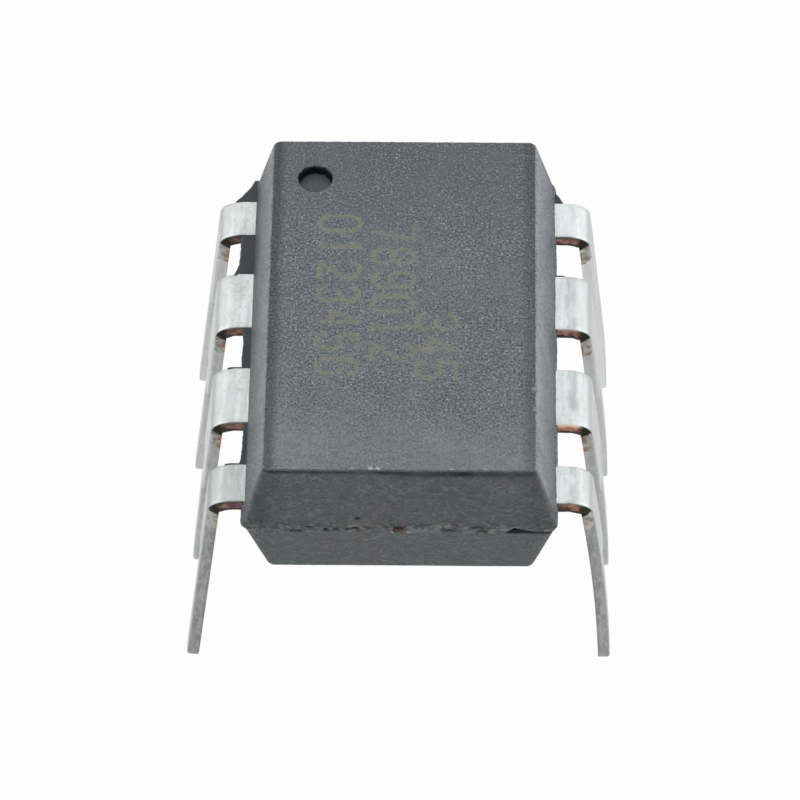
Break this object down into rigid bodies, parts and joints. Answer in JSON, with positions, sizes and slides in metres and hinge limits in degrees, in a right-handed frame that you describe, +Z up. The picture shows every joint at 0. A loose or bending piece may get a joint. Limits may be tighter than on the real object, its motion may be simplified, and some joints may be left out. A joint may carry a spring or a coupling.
{
  "type": "dip integrated circuit chip",
  "caption": "Dual in-line integrated circuit: a moulded black body with a round pin mark, standing on two rows of formed tinned leads.",
  "frame": {"origin": "middle of the footprint, on the plane of the lead tips, which the part stands on", "axes": "+Z up out of the marked top face; +Y along the body towards the end with the round mark; +X across the rows, away from lead 1"},
  "size_m": [0.0089, 0.0094, 0.0068],
  "materials": {
    "moulding": "grained moulded epoxy, dark grey",
    "tinned_lead": "tin plate, streaked, with bare copper on the sheared edges",
    "copper_frame": "bare copper alloy sheet",
    "silver_epoxy": "silver filled adhesive",
    "silicon": "polished silicon",
    "gold_wire": "drawn gold wire"
  },
  "bodies": {
    "root": {"package_body": "moulding", "lead_1": "tinned_lead", "lead_2": "tinned_lead", "lead_3": "tinned_lead", "lead_4": "tinned_lead", "lead_5": "tinned_lead", "lead_6": "tinned_lead", "lead_7": "tinned_lead", "lead_8": "tinned_lead", "die_paddle": "copper_frame", "die_attach": "silver_epoxy", "silicon_die": "silicon", "bond_wire_1": "gold_wire", "bond_wire_2": "gold_wire", "bond_wire_3": "gold_wire", "bond_wire_4": "gold_wire", "bond_wire_5": "gold_wire", "bond_wire_6": "gold_wire", "bond_wire_7": "gold_wire", "bond_wire_8": "gold_wire"}
  },
  "joints": []
}
